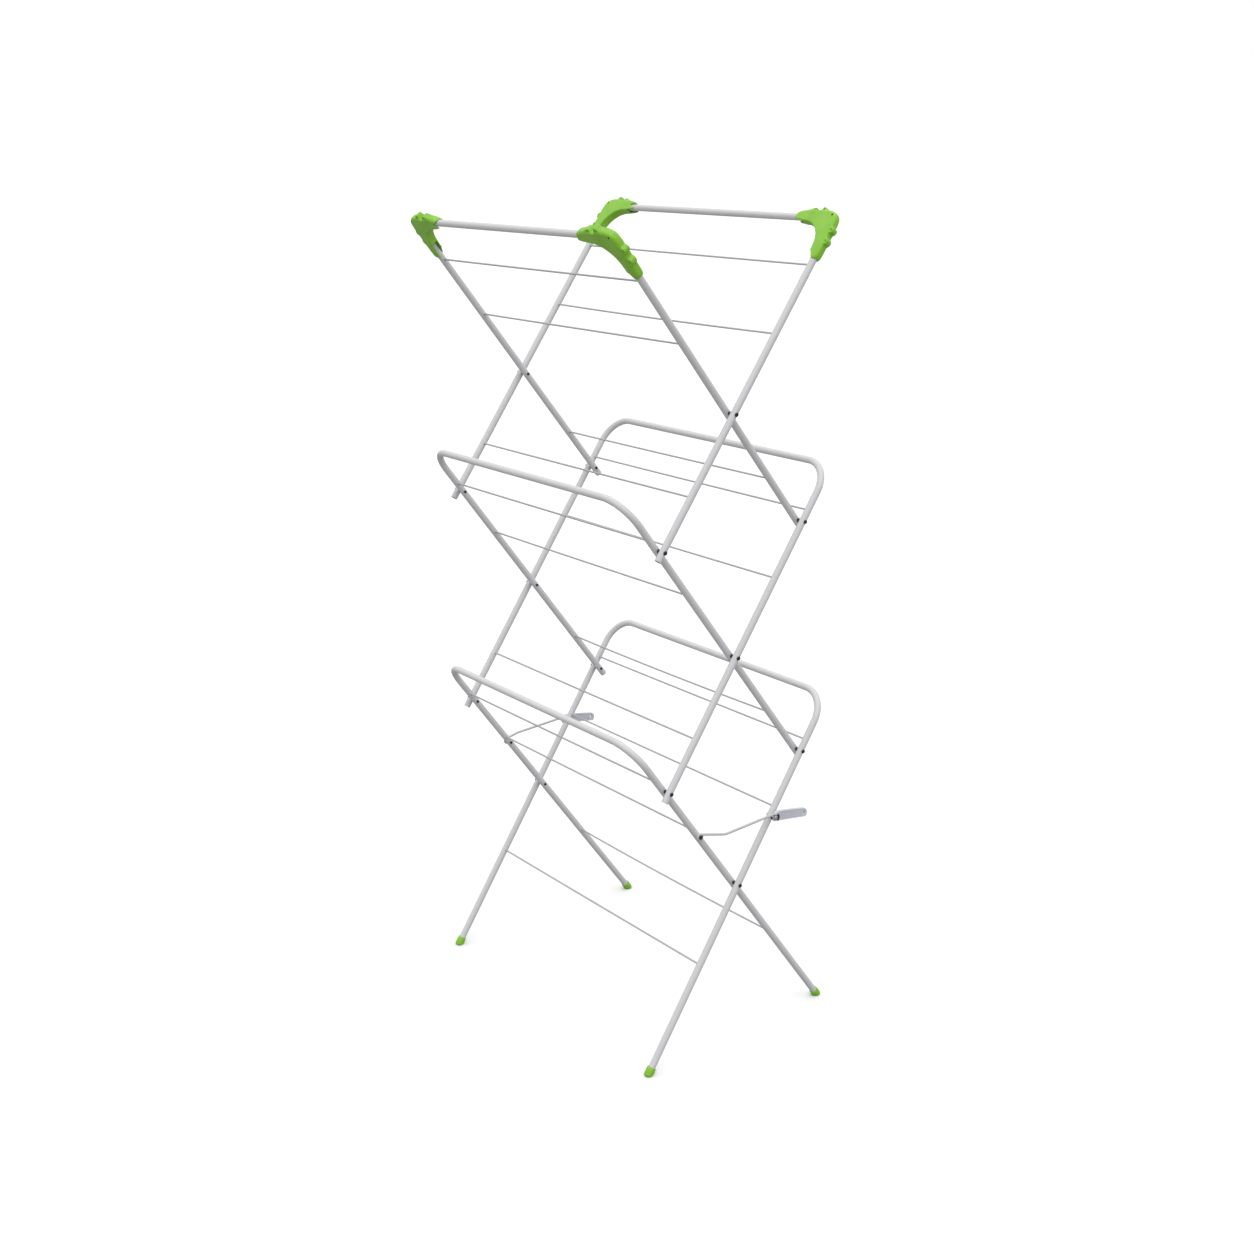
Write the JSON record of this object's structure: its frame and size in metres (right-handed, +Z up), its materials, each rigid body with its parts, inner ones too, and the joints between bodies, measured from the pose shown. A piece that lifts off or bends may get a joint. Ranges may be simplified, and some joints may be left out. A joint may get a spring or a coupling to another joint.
{
  "type": "clothes drying rack",
  "caption": "Free-standing folding clothes airer: crossed tube frames stacked in tiers, thin drying rods, hanger notches at the top corners and a hooked lock stay at each side.",
  "frame": {"origin": "on the floor, midway between the four feet when open", "axes": "+Z up, +X along the drying rods, +Y from the forward-leaning side to the backward-leaning side"},
  "size_m": [0.592, 0.4338, 1.3115],
  "materials": {
    "white_paint": "smooth off-white powder coat, satin",
    "grey_paint": "smooth light grey coat on wire, satin",
    "green_plastic": "bright leaf green moulded plastic, satin",
    "black_plastic": "black moulded plastic, matt",
    "grey_plastic": "cool grey moulded plastic, satin",
    "bright_steel": "plated steel, fine turning marks"
  },
  "bodies": {
    "lower_outer": {"lower_outer_frame": "white_paint", "lower_outer_rod_high": "grey_paint", "lower_outer_rod_middle": "grey_paint", "lower_outer_rod_low": "grey_paint", "foot_outer_left": "green_plastic", "foot_outer_right": "green_plastic", "rivet_lower_cross_left": "black_plastic", "rivet_lower_cross_right": "black_plastic", "rivet_lower_back_left": "black_plastic", "rivet_lower_back_right": "black_plastic", "lock_stud_left": "bright_steel", "lock_stud_right": "bright_steel"},
    "lower_inner": {"lower_inner_frame": "white_paint", "lower_inner_rod_high": "grey_paint", "lower_inner_rod_middle": "grey_paint", "lower_inner_rod_low": "grey_paint", "foot_inner_left": "green_plastic", "foot_inner_right": "green_plastic", "stay_rivet_left": "black_plastic", "stay_rivet_right": "black_plastic"},
    "middle_outer": {"middle_outer_frame": "white_paint", "middle_outer_rod_high": "grey_paint", "middle_outer_rod_middle": "grey_paint", "middle_outer_rod_low": "grey_paint", "rivet_lower_front_left": "black_plastic", "rivet_lower_front_right": "black_plastic", "rivet_middle_cross_left": "black_plastic", "rivet_middle_cross_right": "black_plastic", "rivet_middle_back_left": "black_plastic", "rivet_middle_back_right": "black_plastic"},
    "middle_inner": {"middle_inner_frame": "white_paint", "middle_inner_rod_high": "grey_paint", "middle_inner_rod_middle": "grey_paint", "middle_inner_rod_low": "grey_paint"},
    "upper_outer": {"upper_outer_tube_left": "white_paint", "upper_outer_tube_right": "white_paint", "upper_outer_rail": "white_paint", "upper_outer_bracket_left": "green_plastic", "upper_outer_bracket_right": "green_plastic", "upper_outer_rod_high": "grey_paint", "upper_outer_rod_middle": "grey_paint", "upper_outer_rod_low": "grey_paint", "rivet_middle_front_left": "black_plastic", "rivet_middle_front_right": "black_plastic", "rivet_upper_cross_left": "black_plastic", "rivet_upper_cross_right": "black_plastic"},
    "upper_inner": {"upper_inner_tube_left": "white_paint", "upper_inner_tube_right": "white_paint", "upper_inner_rail": "white_paint", "upper_inner_bracket_left": "green_plastic", "upper_inner_bracket_right": "green_plastic", "upper_inner_rod_high": "grey_paint", "upper_inner_rod_middle": "grey_paint", "upper_inner_rod_low": "grey_paint"},
    "stay_left": {"stay_wire_left": "grey_paint", "stay_handle_left": "grey_plastic"},
    "stay_right": {"stay_wire_right": "grey_paint", "stay_handle_right": "grey_plastic"}
  },
  "joints": [
    {"name": "fold", "type": "hinge", "parent": "lower_outer", "child": "lower_inner", "pos_m": [0, 0, 0.2694], "axis": [-1, 0, 0], "range_deg": [0, 47]},
    {"name": "middle_inner_pivot", "type": "hinge", "parent": "lower_outer", "child": "middle_inner", "pos_m": [0, 0.13445, 0.46214], "axis": [-1, 0, 0], "range_deg": [0, 47.7]},
    {"name": "middle_outer_pivot", "type": "hinge", "parent": "lower_inner", "child": "middle_outer", "pos_m": [0, -0.13445, 0.46214], "axis": [1, 0, 0], "range_deg": [0, 47.7]},
    {"name": "upper_inner_pivot", "type": "hinge", "parent": "middle_outer", "child": "upper_inner", "pos_m": [0, 0.13738, 0.83941], "axis": [-1, 0, 0], "range_deg": [0, 48.9]},
    {"name": "upper_outer_pivot", "type": "hinge", "parent": "middle_inner", "child": "upper_outer", "pos_m": [0, -0.13738, 0.83941], "axis": [1, 0, 0], "range_deg": [0, 48.9]},
    {"name": "stay_left_pivot", "type": "hinge", "parent": "lower_inner", "child": "stay_left", "pos_m": [0, -0.06923, 0.36864], "axis": [1, 0, 0], "range_deg": [0, 29.8]},
    {"name": "stay_right_pivot", "type": "hinge", "parent": "lower_inner", "child": "stay_right", "pos_m": [0, -0.06923, 0.36864], "axis": [1, 0, 0], "range_deg": [0, 29.8]}
  ],
  "couplings": [
    {"joint": "middle_inner_pivot", "follows": "fold", "ratio": 1.0123},
    {"joint": "middle_outer_pivot", "follows": "fold", "ratio": 1.0123},
    {"joint": "upper_inner_pivot", "follows": "fold", "ratio": 1.0375},
    {"joint": "upper_outer_pivot", "follows": "fold", "ratio": 1.0375},
    {"joint": "stay_left_pivot", "follows": "fold", "ratio": 0.63},
    {"joint": "stay_right_pivot", "follows": "fold", "ratio": 0.63}
  ]
}
